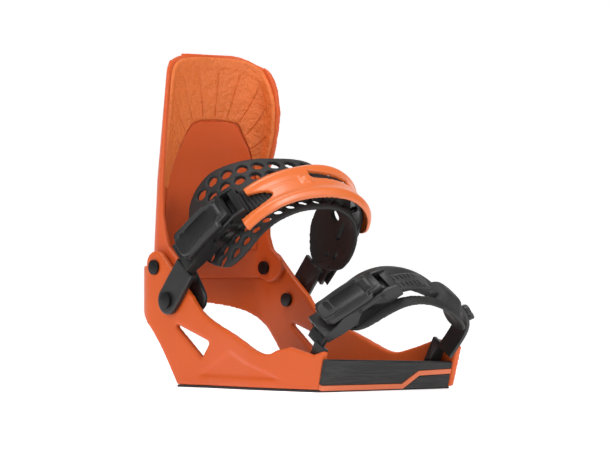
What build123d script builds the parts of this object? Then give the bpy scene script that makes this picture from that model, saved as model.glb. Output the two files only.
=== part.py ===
"""Two-strap snowboard binding.

+X points to the toe and +Z up.  The origin is the centre of the mounting disc on
the board's surface.  -Y is the buckle side, called "near"; +Y is the "far" side.
"""

import math
import os

from build123d import *

os.makedirs("parts", exist_ok=True)


def save(piece, name):
    """Label one finished piece and write it as its own STEP."""
    piece.part.label = name
    export_step(piece.part, f"parts/{name}.step")


# ---------------------------------------------------------------- driving dimensions
GASKET_T = 1.6  # rubber sheet under the chassis
FLOOR_T = 4.5  # moulded floor of the chassis
WALL_T = 5.0  # side walls and heel hoop
TOE_HALF = 61.0  # half width over the walls at the toe
HEEL_HALF = 56.5  # half width over the walls at the heel
HEEL_X = -99.0  # where the hoop's rear curve starts
HEEL_DEPTH = 33.0  # how far that curve reaches back
TAPER = (10.0, -36.0)  # stretch over which the walls narrow
TOE_X = 80.3  # front edge of the walls at the base
TOE_LEAN = 14.0  # degrees the front face leans forward
HEEL_BASE_X = -70.5  # rear edge of the base
PIVOT = (-94.5, 83.0)  # highback pivot, x and z
ANKLE_MOUNT = (-76.0, 60.0)  # ankle strap pivot, x and z
TOE_MOUNT = (68.0, 16.0)  # toe strap pivot, x and z
BACK_TOP = 236.0  # height of the highback
BACK_HALF = 49.7  # half width of the highback between the walls
BACK_T = 3.5
BACK_TILT = 4.0  # degrees the highback leans forward
BACK_GAP = 1.8  # highback to hoop
DISC_R = 44.0
DISC_PLUG_R = 38.0
BOARD_HOLE_R = 3.3  # for M6 board screws
BOARD_PITCH = 40.0
RUNNING = 0.05  # radial running clearance of a pin in its hole
CLEAR = 0.3  # clearance between moving neighbours
PAD_T = 4.5
PIN_R = 1.6
BOLT_R = 3.0

FLOOR_TOP = GASKET_T + FLOOR_T
HEEL_INNER = HEEL_HALF - WALL_T
TOE_INNER = TOE_HALF - WALL_T
WALL_TOP = 96.0


# ---------------------------------------------------------------- chassis
def plan_face(inset, front, rear_cut=None):
    """Plan of the chassis: straight toe, tapering sides, half-ellipse heel."""
    toe = TOE_HALF - inset
    heel = HEEL_HALF - inset
    with BuildSketch() as plan:
        with BuildLine():
            Polyline((HEEL_X, heel), (TAPER[1], heel), (TAPER[0], toe), (front, toe))
            Line((front, toe), (front, -toe))
            Polyline((front, -toe), (TAPER[0], -toe), (TAPER[1], -heel), (HEEL_X, -heel))
            EllipticalCenterArc((HEEL_X, 0), HEEL_DEPTH - inset, heel, 90, arc_size=180)
        make_face()
        if rear_cut is not None:
            with Locations((rear_cut, 0)):
                Rectangle(300, 300, align=(Align.MAX, Align.CENTER), mode=Mode.SUBTRACT)
    return plan.sketch


LEAN = math.tan(math.radians(TOE_LEAN))
WINDOW = [(-76.0, 45.0), (-35.5, 31.5), (-44.0, 20.5)]
RECESS = [(-50.0, 7.8), (-11.5, 26.0), (4.0, 19.5), (45.0, 7.0)]
STRUT = [(-83.0, 20.0), (-93.5, 33.5), (-104.0, 44.0), (-117.0, 53.0), (-136.0, 61.0)]
REAR_TOP = 84.0
EAR_R = 10.5
TOE_TOPS = {
    "near": [(85.8, 27.5), (74.5, 24.4), (52.0, 29.5), (38.0, 27.0)],
    "far": [(92.0, 29.0), (82.0, 32.5), (71.0, 33.7), (52.0, 28.3), (38.0, 25.0)],
}
FRONT_EXTRA = {"near": 0.0, "far": 3.5}


def side_face(side):
    """Side view of one wall, seen along Y: toe, low waist, rising arm, ear and hoop."""
    tops = TOE_TOPS[side]
    front = TOE_X + FRONT_EXTRA[side]
    with BuildSketch() as view:
        with BuildLine():
            Polyline((HEEL_BASE_X, GASKET_T), (front, GASKET_T), *tops)
            Spline(tops[-1], (27.0, 24.3), (6.0, 31.0), (-15.0, 39.2), (-37.0, 47.5), (-55.0, 62.5))
            Polyline((-55.0, 62.5), (-72.0, 77.0), (PIVOT[0] + EAR_R * 0.8, PIVOT[1] + EAR_R * 0.7))
            RadiusArc(
                (PIVOT[0] + EAR_R * 0.8, PIVOT[1] + EAR_R * 0.7),
                (PIVOT[0] - EAR_R, REAR_TOP),
                -EAR_R,
            )
            Polyline((PIVOT[0] - EAR_R, REAR_TOP), (STRUT[-1][0], REAR_TOP), STRUT[-1])
            Spline(*reversed(STRUT))
            Line(STRUT[0], (HEEL_BASE_X, GASKET_T))
        make_face()
        with BuildLine():
            Polyline(*WINDOW, close=True)
        make_face(mode=Mode.SUBTRACT)
    return view.sketch


def wall_ring():
    """The U-shaped wall in plan, before its side view is cut."""
    with BuildPart() as ring:
        with BuildSketch(Plane.XY.offset(GASKET_T)):
            add(plan_face(0.0, 110.0))
            add(plan_face(WALL_T, 120.0), mode=Mode.SUBTRACT)
        extrude(amount=WALL_TOP - GASKET_T)
    return ring.part


RECESS_DEPTH = 1.2


def recess_cutter():
    """Skin of the walls' outer faces inside the recess outline, on both sides."""
    with BuildPart() as cutter:
        with BuildSketch(Plane.XZ):
            with BuildLine():
                Polyline(*RECESS, close=True)
            make_face()
        extrude(amount=100, both=True)
        with BuildSketch():
            add(plan_face(RECESS_DEPTH, 110.0))
        extrude(amount=WALL_TOP, mode=Mode.SUBTRACT)
    return cutter.part


SPLIT_X = -100.0  # side frames end and the heel hoop starts here

for side, sign in (("near", -1), ("far", 1)):
    with BuildPart() as frame:
        add(wall_ring())
        with BuildSketch(Plane.XZ):
            add(side_face(side))
        extrude(amount=100, both=True, mode=Mode.INTERSECT)
        with Locations((SPLIT_X, 0, 0)):
            Box(300, 100, 300, align=(Align.MIN, Align.MIN if sign > 0 else Align.MAX, Align.MIN),
                mode=Mode.INTERSECT)
        add(recess_cutter(), mode=Mode.SUBTRACT)
        for mount, radius in ((PIVOT, BOLT_R), (ANKLE_MOUNT, BOLT_R)):
            with Locations(Location((mount[0], sign * HEEL_HALF, mount[1]), (90, 0, 0))):
                Cylinder(radius, 20, mode=Mode.SUBTRACT)
        with Locations(Location((TOE_MOUNT[0], sign * TOE_INNER, TOE_MOUNT[1]), (90, 0, 0))):
            Cylinder(2.5, 7.0, mode=Mode.SUBTRACT)
    save(frame, f"side_frame_{side}")

with BuildPart() as heel_hoop:
    add(wall_ring())
    with BuildSketch(Plane.XZ):
        add(side_face("near"))
    extrude(amount=100, both=True, mode=Mode.INTERSECT)
    with Locations((SPLIT_X, 0, 0)):
        Box(100, 200, 300, align=(Align.MAX, Align.CENTER, Align.MIN), mode=Mode.INTERSECT)
save(heel_hoop, "heel_hoop")

RAMP_BACK = 60.0  # rear end of the toe ramp
with BuildPart() as base_plate:
    with BuildSketch(Plane.XY.offset(GASKET_T)):
        add(plan_face(WALL_T, TOE_X - 2.0, rear_cut=HEEL_BASE_X))
        Circle(DISC_PLUG_R + CLEAR, mode=Mode.SUBTRACT)
    extrude(amount=FLOOR_T)
    with BuildSketch(Plane.XY.offset(FLOOR_TOP)):
        Circle(DISC_R + CLEAR)
    extrude(amount=-FLOOR_T / 2, mode=Mode.SUBTRACT)
save(base_plate, "base_plate")

with BuildPart() as base_gasket:
    with BuildSketch():
        add(plan_face(0.4, TOE_X - 0.4, rear_cut=HEEL_BASE_X + 0.4))
        Circle(DISC_PLUG_R + 4 * CLEAR, mode=Mode.SUBTRACT)
    extrude(amount=GASKET_T)
save(base_gasket, "base_gasket")

FOOTBED_T = 3.6
FOOTBED_INSET = WALL_T + 4.2
with BuildPart() as footbed:
    with BuildSketch(Plane.XY.offset(FLOOR_TOP)):
        add(plan_face(FOOTBED_INSET, RAMP_BACK - CLEAR, rear_cut=HEEL_BASE_X + 1.5))
        Circle(DISC_R + 1.5, mode=Mode.SUBTRACT)
    extrude(amount=FOOTBED_T)
    fillet(footbed.edges().group_by(Axis.Z)[-1], 0.8)
save(footbed, "footbed")

BUMPER_T = 6.0
with BuildPart() as heel_bumper:
    with BuildSketch(Plane.YZ.offset(HEEL_BASE_X)):
        with Locations((0, 9.0)):
            RectangleRounded(2 * HEEL_INNER - 1, 11.0, 3.0)
    extrude(amount=-BUMPER_T / 2)
    fillet(heel_bumper.faces().sort_by(Axis.X)[0].edges(), 1.2)
save(heel_bumper, "heel_bumper")

# mounting disc: a plug through the floor with a flange that clamps it
DISC_SEAT = GASKET_T + FLOOR_T / 2
with BuildPart() as mounting_disc:
    with BuildSketch():
        Circle(DISC_PLUG_R)
    extrude(amount=DISC_SEAT + RUNNING)
    with BuildSketch(Plane.XY.offset(DISC_SEAT + RUNNING)):
        Circle(DISC_R)
    extrude(amount=FLOOR_T / 2)
    fillet(mounting_disc.edges().group_by(Axis.Z)[-1], 0.8)
    with Locations((0, 0, DISC_SEAT + RUNNING + FLOOR_T / 2)):
        with GridLocations(BOARD_PITCH, BOARD_PITCH, 2, 2):
            CounterSinkHole(BOARD_HOLE_R, 2 * BOARD_HOLE_R)
save(mounting_disc, "mounting_disc")

# ---------------------------------------------------------------- toe ramp
front_plane = Plane(
    origin=(TOE_X, 0, 0),
    x_dir=(0, 1, 0),
    z_dir=(math.cos(math.radians(TOE_LEAN)), 0, -math.sin(math.radians(TOE_LEAN))),
)
RAMP_FACE_T = 3.0  # front plate over the wall ends
RAMP_FACE = [(-61.0, 5.8), (-61.0, 23.0), (55.6, 19.6), (55.6, 15.2), (25.0, 14.3), (11.5, 5.6)]
TRIM_PATH = [
    (-61.0, 5.4), (11.6, 5.2), (25.2, 13.9), (55.6, 14.8),
    (55.6, 11.4), (26.4, 10.6), (13.0, 1.8), (-61.0, 1.9),
]
BLOCK_FACE = [(14.0, 1.8), (26.6, 10.2), (55.6, 11.0), (55.6, 1.8)]
RAMP_HALF = 47.0

with BuildPart() as toe_ramp:
    with BuildSketch(front_plane):
        with BuildLine():
            Polyline(*RAMP_FACE, close=True)
        make_face()
    extrude(amount=RAMP_FACE_T)
    fillet(toe_ramp.edges().filter_by(lambda e: e.center().Z > 17 and e.length > 60), 1.2)
    with BuildSketch(Plane.XZ):
        with BuildLine():
            Polyline(
                (RAMP_BACK, FLOOR_TOP),
                (TOE_X + LEAN * FLOOR_TOP, FLOOR_TOP),
                (TOE_X + LEAN * 17.0, 17.0),
                (TOE_X - 2.0, 17.0),
                (RAMP_BACK, FLOOR_TOP + FOOTBED_T),
                close=True,
            )
        make_face()
    extrude(amount=RAMP_HALF, both=True)
save(toe_ramp, "toe_ramp")

with BuildPart() as toe_trim:
    with BuildSketch(front_plane):
        with BuildLine():
            Polyline(*TRIM_PATH, close=True)
        make_face()
    extrude(amount=RAMP_FACE_T + 0.3)
save(toe_trim, "toe_trim")

with BuildPart() as toe_block:
    with BuildSketch(front_plane):
        with BuildLine():
            Polyline(*BLOCK_FACE, close=True)
        make_face()
    extrude(amount=RAMP_FACE_T)
save(toe_block, "toe_block")

# ---------------------------------------------------------------- highback
tilt = math.radians(BACK_TILT)
back_plane = Plane(
    origin=(PIVOT[0], 0, PIVOT[1]), x_dir=(math.cos(tilt), 0, -math.sin(tilt)),
    z_dir=(math.sin(tilt), 0, math.cos(tilt)),
)
BACK_DEPTH = HEEL_DEPTH - WALL_T - BACK_GAP
BACK_FRONT = 40.0  # wings may reach this far ahead of the rear curve
BACK_SKIRT = 20.0  # wall below the pivot
BACK_BEND = 62.0  # above this height over the pivot the wall draws in
BACK_RISE = 128.0  # wall above the bend, before the outline is cut
BACK_DRAW = 5.4  # how far it has drawn in at the top


def back_column(shrink, front):
    """Tilted D-shaped column: straight up to the bend, then drawing in towards the top."""
    centre = HEEL_X - PIVOT[0]

    def section(level, draw):
        with BuildSketch(back_plane.offset(level)) as outline:
            with Locations((centre, 0)):
                Ellipse(BACK_DEPTH - shrink - draw, BACK_HALF - shrink - draw)
                Rectangle(front, 2 * (BACK_HALF - shrink - draw), align=(Align.MIN, Align.CENTER))
        return outline.sketch

    skirt = extrude(section(-BACK_SKIRT, 0), amount=BACK_SKIRT + BACK_BEND)
    crown = loft([section(BACK_BEND, 0).face(), section(BACK_BEND + BACK_RISE, BACK_DRAW).face()], ruled=True)
    return skirt + crown


def back_wall(inset, thickness):
    """C-section wall of the highback, open to the front."""
    with BuildPart() as wall:
        add(back_column(inset, BACK_FRONT))
        add(back_column(inset + thickness, 2 * BACK_FRONT), mode=Mode.SUBTRACT)
    return wall.part


# the near wing is shorter: this much of the side view is cut away on the near side
NEAR_CUT = [
    (-91.6, 106.0), (-95.0, 118.0), (-95.5, 150.0), (-95.5, 200.0), (-97.5, 222.0), (-101.5, 229.0),
    (-108.0, 234.5), (-108.0, 245.0), (-50.0, 245.0), (-50.0, 106.0),
]
BACK_LOW = 76.0
CORNER_R = 30.0
BACK_SIDE = [
    (-140.0, BACK_LOW), (-101.0, BACK_LOW), (-92.0, 72.5), (-83.0, 74.5), (-77.0, 80.0), (-78.5, 89.0),
    (-88.0, 97.0), (-91.5, 106.0), (-93.0, 150.0), (-86.0, 165.0), (-80.5, 182.0), (-78.3, 196.0),
    (-80.5, 211.0), (-84.4, 219.6), (-90.0, 227.5), (-96.0, 232.4), (-105.0, BACK_TOP), (-140.0, BACK_TOP),
]


def outline_face(grow, bottom):
    """Front view of the highback: upright sides and rounded top corners."""
    side = BACK_HALF + 2.0 + grow
    top = BACK_TOP + grow
    with BuildSketch() as outline:
        with BuildLine():
            FilletPolyline(
                (-side, bottom), (-side, top), (side, top), (side, bottom), radius=CORNER_R, close=False,
            )
            Line((side, bottom), (-side, bottom))
        make_face()
    return outline.sketch


with BuildPart() as highback_shell:
    add(back_wall(0.0, BACK_T))
    with BuildSketch(Plane.XZ):
        with BuildLine():
            Polyline(*BACK_SIDE, close=True)
        make_face()
    extrude(amount=100, both=True, mode=Mode.INTERSECT)
    with BuildSketch(Plane.YZ.offset(-150)):
        add(outline_face(0.0, 60.0))
    extrude(amount=120, mode=Mode.INTERSECT)
    with BuildSketch(Plane.XZ):
        with BuildLine():
            Polyline(*NEAR_CUT, close=True)
        make_face()
    extrude(amount=100, mode=Mode.SUBTRACT)
    with Locations(Location((PIVOT[0], 0, PIVOT[1]), (90, 0, 0))):
        Cylinder(BOLT_R + RUNNING, 200, mode=Mode.SUBTRACT)
save(highback_shell, "highback_shell")

FACING_T = 2.2
FACING_LOW = 139.0
FACING_RIM = 2.5  # bare rim of the shell round the facing
FACING_GAP = 0.15
# the centre panel's outline, seen from the front; it sits towards the far side
PANEL = [
    (-34.0, 96.0), (-34.0, 139.0), (-27.0, 156.0), (-15.0, 177.0), (-3.0, 188.5),
    (26.0, 188.5), (36.0, 177.0), (41.0, 156.0), (43.5, 139.0), (43.5, 96.0),
]


def on_back(name, face, thickness):
    """A facing that lines the highback's inner face inside a front-view outline."""
    with BuildPart() as facing:
        add(back_wall(BACK_T + FACING_GAP, thickness))
        with BuildSketch(Plane.XZ):
            with BuildLine():
                Polyline(*BACK_SIDE, close=True)
            make_face()
            offset(amount=-FACING_RIM)
        extrude(amount=100, both=True, mode=Mode.INTERSECT)
        with BuildSketch(Plane.XZ):
            with BuildLine():
                Polyline(*NEAR_CUT, close=True)
            make_face()
            offset(amount=FACING_RIM)
        extrude(amount=100, mode=Mode.SUBTRACT)
        with BuildSketch(Plane.YZ.offset(-150)):
            add(face)
        extrude(amount=120, mode=Mode.INTERSECT)
    save(facing, name)


with BuildSketch() as panel_outline:
    with BuildLine():
        Polyline(*PANEL, close=True)
    make_face()

with BuildSketch() as facing_outline:
    add(outline_face(-FACING_RIM, FACING_LOW))
    offset(panel_outline.sketch, 0.8, mode=Mode.SUBTRACT)

on_back("highback_facing", facing_outline.sketch, FACING_T)
on_back("highback_panel", panel_outline.sketch, FACING_T * 0.6)

# forward lean: a toothed rail, a sliding block that bears on the hoop, and its lock lever
RAIL_T = 2.0
RAIL_W = 16.0
REAR_X = HEEL_X - BACK_DEPTH - PIVOT[0]  # rear face of the shell in the tilted frame
with BuildPart() as lean_rail:
    with BuildSketch(back_plane.offset(8)):
        with Locations((REAR_X - 0.2, 0)):
            Rectangle(RAIL_T, RAIL_W, align=(Align.MAX, Align.CENTER))
    extrude(amount=52)
    for step in range(12):
        with BuildSketch(back_plane.offset(12 + 4 * step)):
            with Locations((REAR_X - 0.2 - RAIL_T, 0)):
                Rectangle(1.6, RAIL_W - 4, align=(Align.CENTER, Align.CENTER))
        extrude(amount=1.6, mode=Mode.SUBTRACT)
save(lean_rail, "lean_rail")

BLOCK_W = 28.0
BLOCK_H = 20.0
BLOCK_D = 9.0
BLOCK_X = REAR_X - 0.2 - CLEAR
EAR_T = 3.0  # ears on the block that carry the lever pin
LEVER_X = BLOCK_X - BLOCK_D - 3.2
with BuildPart() as lean_block:
    with BuildSketch(back_plane.offset(0.6)):
        with Locations((BLOCK_X, 0)):
            Rectangle(BLOCK_D, BLOCK_W, align=(Align.MAX, Align.CENTER))
        with Locations((BLOCK_X - RAIL_T - 2 * CLEAR, 0)):
            Rectangle(BLOCK_D, RAIL_W + 2 * CLEAR, align=(Align.MIN, Align.CENTER), mode=Mode.SUBTRACT)
    extrude(amount=BLOCK_H)
    with BuildSketch(back_plane.offset(BLOCK_H - 7)):
        ear_x = BLOCK_X - BLOCK_D + 0.5
        with Locations((ear_x, BLOCK_W / 2), (ear_x, EAR_T - BLOCK_W / 2)):
            Rectangle(6.5, EAR_T, align=(Align.MAX, Align.MAX))
    extrude(amount=7)
    with Locations(back_plane * Location((LEVER_X, 0, BLOCK_H - 3.5), (90, 0, 0))):
        Cylinder(PIN_R, 2 * BLOCK_W, mode=Mode.SUBTRACT)
save(lean_block, "lean_block")

with BuildPart() as lean_lever_pin:
    with Locations(back_plane * Location((LEVER_X, 0, BLOCK_H - 3.5), (90, 0, 0))):
        Cylinder(PIN_R, BLOCK_W)
save(lean_lever_pin, "lean_lever_pin")

LEVER_HALF = BLOCK_W / 2 - EAR_T - CLEAR
with BuildPart() as lean_lever:
    with BuildSketch(back_plane.offset(-2.0)):
        with Locations((LEVER_X + 1.4, 0)):
            RectangleRounded(2.8, 2 * LEVER_HALF, 1.2, align=(Align.MAX, Align.CENTER))
    extrude(amount=BLOCK_H - 1.0)
    with Locations(back_plane * Location((LEVER_X, 0, BLOCK_H - 3.5), (90, 0, 0))):
        Cylinder(2.8, 2 * LEVER_HALF)
        Cylinder(PIN_R + RUNNING, 2 * BLOCK_W, mode=Mode.SUBTRACT)
save(lean_lever, "lean_lever")

# highback pivots: a bolt from inside, a spacer washer and a domed nut on each side
HEAD_T = 2.4
HEAD_R = 4.8
SHELL_INNER = BACK_HALF - BACK_T
with BuildPart() as pivot_bolts:
    for sign in (-1, 1):
        with Locations(Location((PIVOT[0], sign * (SHELL_INNER - CLEAR), PIVOT[1]), (-90 * sign, 0, 0))):
            Cylinder(BOLT_R, HEEL_HALF - SHELL_INNER + 1.0, align=(Align.CENTER, Align.CENTER, Align.MIN))
            Cylinder(HEAD_R, HEAD_T, align=(Align.CENTER, Align.CENTER, Align.MAX))
save(pivot_bolts, "pivot_bolts")

with BuildPart() as pivot_washers:
    for sign in (-1, 1):
        with Locations(Location((PIVOT[0], sign * (BACK_HALF + 0.1), PIVOT[1]), (-90 * sign, 0, 0))):
            Cylinder(4.4, HEEL_INNER - BACK_HALF - 0.2, align=(Align.CENTER, Align.CENTER, Align.MIN))
            Cylinder(BOLT_R, 10, mode=Mode.SUBTRACT)
save(pivot_washers, "pivot_washers")

with BuildPart() as pivot_nuts:
    for sign in (-1, 1):
        with Locations(Location((PIVOT[0], sign * HEEL_HALF, PIVOT[1]), (-90 * sign, 0, 0))):
            Cylinder(5.2, 1.8, align=(Align.CENTER, Align.CENTER, Align.MIN))
            Cylinder(BOLT_R, 0.9, align=(Align.CENTER, Align.CENTER, Align.MIN), mode=Mode.SUBTRACT)
save(pivot_nuts, "pivot_nuts")


# ---------------------------------------------------------------- strap frames
def strap_plane(mount, tilt_deg, skew_deg):
    """Plane of a strap loop: x across the foot, y away from the pivot, z along the width."""
    lean = math.radians(tilt_deg)
    skew = math.radians(skew_deg)
    along = Vector(math.sin(lean), 0, -math.cos(lean))
    across = Vector(0, 1, 0)
    return Plane(
        origin=(mount[0], 0, mount[1]),
        x_dir=across * math.cos(skew) + along * math.sin(skew),
        z_dir=along * math.cos(skew) - across * math.sin(skew),
    )


ankle_plane = strap_plane(ANKLE_MOUNT, 50.0, 8.0)
toe_plane = strap_plane(TOE_MOUNT, 60.0, 10.0)

# straight stretch of each ladder under its buckle: low end, middle, high end
ANKLE_RUN = [(-55.5, 38.0), (-48.5, 57.25), (-41.5, 76.5)]
TOE_RUN = [(-47.0, 28.0), (-32.0, 42.75), (-17.0, 57.5)]
ANKLE_LADDER = [(-47.6, 16.5), (-50.0, 25.0), *ANKLE_RUN, (-24.0, 96.0), (4.0, 107.0), (16.0, 108.5)]
ANKLE_LOOP = [
    *ANKLE_RUN, (-24.0, 96.0), (6.0, 107.0), (36.0, 107.5),
    (56.0, 95.0), (63.0, 74.0), (62.5, 50.0), (60.6, 26.0),
]
TOE_LADDER = [(-52.0, 14.0), *TOE_RUN, (-3.0, 64.5), (14.0, 66.5)]
TOE_LOOP = [
    *TOE_RUN, (-3.0, 64.5), (13.0, 66.0), (30.0, 62.0),
    (47.0, 53.0), (57.0, 41.0), (56.5, 29.0), (53.0, 16.0),
]


def ribbon(points, low, high, start, end, count=13):
    """2-D strip between two heights outside a smooth curve, from one share of it to another."""
    curve = Spline(*points)

    def lifted(level):
        places = []
        for step in range(count):
            share = start + (end - start) * step / (count - 1)
            spot = curve @ share
            run = curve % share
            places.append((spot.X - run.Y * level, spot.Y + run.X * level))
        return places

    outer = lifted(high)
    inner = lifted(low)
    with BuildSketch() as strip:
        with BuildLine():
            Spline(*outer)
            Line(outer[-1], inner[-1])
            Spline(*inner)
            Line(inner[0], outer[0])
        make_face()
    return strip.sketch


def band(plane, strip, low, high):
    """A strip carried across the strap's width."""
    with BuildPart() as piece:
        with BuildSketch(plane.offset(low)):
            add(strip)
        extrude(amount=high - low)
    return piece


def tab(side_sign, mount, inner_y, thickness, tilt_deg, reach, width, hole):
    """Flat end of a strap: a round eye on the pivot and an arm along the strap's lean."""
    lean = math.radians(tilt_deg)
    plane = Plane(
        origin=(mount[0], side_sign * inner_y, mount[1]),
        x_dir=(math.cos(lean), 0, math.sin(lean)), z_dir=(0, side_sign, 0),
    )
    with BuildPart() as piece:
        with BuildSketch(plane):
            Circle(width / 2)
            with Locations((reach / 2, 0)):
                Rectangle(reach, width)
            Circle(hole, mode=Mode.SUBTRACT)
        extrude(amount=thickness)
    return piece


# ---------------------------------------------------------------- ratchet buckles
# side views of a buckle's pieces: x up the ladder, y away from the boot
RAIL_SIDE = [(-8, -2.0), (2, -3.0), (52, -3.0), (52, 5.5), (44, 8.2), (8, 8.2), (0, 5.0), (-8, 3.5)]
LEVER_SIDE = [(35.6, 6.5), (42.0, 6.5), (41.6, 12.0), (4, 12.6), (-2, 10.4), (-2, 9.0), (34.0, 8.9)]
PAWL_SIDE = [(31.5, 2.1), (31.5, 4.4), (23.0, 7.7), (6.5, 7.6), (6.5, 5.2), (19.0, 3.0)]
BRIDGE_T = 2.4
LEVER_PLATE = (16.5, 35.0)  # middle and length of the lever's broad plate
LEVER_PIN = (39.0, 5.8)
PAWL_PIN = (21.0, 5.2)


def ratchet(name, plane, ladder_half):
    """Buckle with a lever, a sprung release pawl and their pins; x runs up the ladder."""
    rail_in = ladder_half + 0.6
    rail_out = rail_in + 2.6
    side_view = Plane(origin=plane.origin, x_dir=plane.x_dir, z_dir=-plane.y_dir)
    with BuildPart() as base:
        with BuildSketch(side_view):
            with BuildLine():
                Polyline(*RAIL_SIDE, close=True)
            make_face()
        extrude(amount=rail_out, both=True)
        with BuildSketch(side_view):
            with Locations((22, 3)):
                Rectangle(100, 40)
        extrude(amount=rail_in, both=True, mode=Mode.SUBTRACT)
        with BuildSketch(plane.offset(-4.2)):
            with Locations((29, 0)):
                Rectangle(30, 2 * rail_out)
        extrude(amount=2.0)
        with BuildSketch(plane.offset(2.4)):
            with Locations((49.5, 0)):
                Rectangle(5, 2 * rail_out)
            with Locations((-1.5, 0)):
                Rectangle(13, 2 * rail_out)
        extrude(amount=BRIDGE_T)
        for spot in (LEVER_PIN, PAWL_PIN):
            with Locations(plane * Location((spot[0], 0, spot[1]), (90, 0, 0))):
                Cylinder(PIN_R, 60, mode=Mode.SUBTRACT)
    save(base, f"{name}_buckle_base")
    for pin_name, spot in (("lever_pin", LEVER_PIN), ("pawl_pin", PAWL_PIN)):
        with BuildPart() as pin:
            with Locations(plane * Location((spot[0], 0, spot[1]), (90, 0, 0))):
                Cylinder(PIN_R, 2 * rail_out)
        save(pin, f"{name}_{pin_name}")
    with BuildPart() as lever:
        with BuildSketch(side_view):
            with BuildLine():
                Polyline(*LEVER_SIDE, close=True)
            make_face()
        extrude(amount=rail_in - CLEAR, both=True)
        with BuildSketch(plane.offset(8.9)):
            with Locations((LEVER_PLATE[0], 0)):
                RectangleRounded(LEVER_PLATE[1], 2 * rail_out, 3.0)
        extrude(amount=2.6)
        with Locations(plane * Location((LEVER_PIN[0], 0, LEVER_PIN[1]), (90, 0, 0))):
            Cylinder(3.3, 2 * (rail_in - CLEAR))
            Cylinder(PIN_R + RUNNING, 60, mode=Mode.SUBTRACT)
    save(lever, f"{name}_lever")
    spring_half = 3.2
    with BuildPart() as pawl:
        with BuildSketch(side_view):
            with BuildLine():
                Polyline(*PAWL_SIDE, close=True)
            make_face()
        extrude(amount=rail_in - CLEAR, both=True)
        with BuildSketch(side_view):
            with Locations((22, 6)):
                Rectangle(10, 20)
        extrude(amount=spring_half, both=True, mode=Mode.SUBTRACT)
        with Locations(plane * Location((PAWL_PIN[0], 0, PAWL_PIN[1]), (90, 0, 0))):
            Cylinder(PIN_R + RUNNING, 60, mode=Mode.SUBTRACT)
    save(pawl, f"{name}_release")
    with BuildPart() as spring:
        with Locations(plane * Location((PAWL_PIN[0], 0, PAWL_PIN[1]), (90, 0, 0))):
            for turn in range(5):
                with Locations((0, 0, 1.2 * (turn - 2))):
                    Torus(PIN_R + 0.55, 0.45)
    save(spring, f"{name}_pawl_spring")


def chord_plane(plane, low, high, shift):
    """Plane on a straight stretch of a ladder: x up the strap, z outwards."""
    start = plane.from_local_coords(Vector(low[0], low[1], shift))
    run = (plane.from_local_coords(Vector(high[0], high[1], shift)) - start).normalized()
    return Plane(origin=start, x_dir=run, z_dir=plane.z_dir.cross(run))


# ---------------------------------------------------------------- ankle strap
LADDER_HALF = 10.0
STRAP_SHIFT = 2.0  # the straps' middle sits this far in front of the pivot line
ankle_buckle_plane = chord_plane(ankle_plane, ANKLE_RUN[0], ANKLE_RUN[-1], STRAP_SHIFT)
ratchet("ankle", ankle_buckle_plane, LADDER_HALF)

ARM_T = 4.2
ankle_arm = tab(-1, ANKLE_MOUNT, HEEL_HALF + CLEAR, ARM_T, 50.0, 29.5, 20.0, BOLT_R + RUNNING)
save(ankle_arm, "ankle_arm")

# the ladder's free tail hangs inside the near wall
TAIL_TOP = (-68.0, 76.0)
TAIL_END = (-58.0, 61.5)
TAIL_TURN = math.degrees(math.atan2(TAIL_END[1] - TAIL_TOP[1], TAIL_END[0] - TAIL_TOP[0]))
TAIL_R = 9.0
TAIL_Y = -48.9
TAIL_T = 2.4
ladder_low = STRAP_SHIFT - LADDER_HALF
ladder_high = STRAP_SHIFT + LADDER_HALF
with BuildPart() as ankle_ladder:
    add(band(ankle_plane, ribbon(ANKLE_LADDER, -1.3, 1.3, 0.0, 1.0, 17), ladder_low, ladder_high).part)
    with BuildSketch(Plane(origin=(0, TAIL_Y, 0), x_dir=(1, 0, 0), z_dir=(0, -1, 0))):
        with Locations(((TAIL_TOP[0] + TAIL_END[0]) / 2, (TAIL_TOP[1] + TAIL_END[1]) / 2)):
            SlotCenterToCenter(math.dist(TAIL_TOP, TAIL_END), 2 * TAIL_R, rotation=TAIL_TURN)
    extrude(amount=-TAIL_T)
save(ankle_ladder, "ankle_ladder")

# the pad's outline, seen square to the loop's crown (across, width) and from its side (rise, width)
PAD_TOP = [
    (-75.0, -48.0), (-30.0, -43.0), (0.0, -39.0), (40.0, -37.0), (75.0, -31.0),
    (75.0, 20.0), (50.0, 14.0), (20.0, 8.0), (-10.0, 12.0), (-35.0, 24.0), (-50.0, 32.0), (-75.0, 34.0),
]
PAD_SIDE = [(30.0, -32.0), (52.0, -50.0), (125.0, -50.0), (125.0, 36.0), (56.0, 36.0), (30.0, 14.0)]
PAD_LEVEL = -6.0  # the pad's outer face, below the ladder's middle
with BuildPart() as ankle_pad:
    add(band(ankle_plane, ribbon(ANKLE_LOOP, PAD_LEVEL - PAD_T, PAD_LEVEL, 0.02, 0.86), -50.0, 36.0).part)
    with BuildSketch(Plane(origin=ankle_plane.origin, x_dir=ankle_plane.x_dir, z_dir=-ankle_plane.y_dir)):
        with BuildLine():
            Polyline(*PAD_TOP, close=True)
        make_face()
    extrude(amount=-200, mode=Mode.INTERSECT)
    with BuildSketch(Plane(origin=ankle_plane.origin, x_dir=ankle_plane.y_dir, z_dir=ankle_plane.x_dir)):
        with BuildLine():
            Polyline(*PAD_SIDE, close=True)
        make_face()
    extrude(amount=100, both=True, mode=Mode.INTERSECT)
save(ankle_pad, "ankle_pad")

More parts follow.
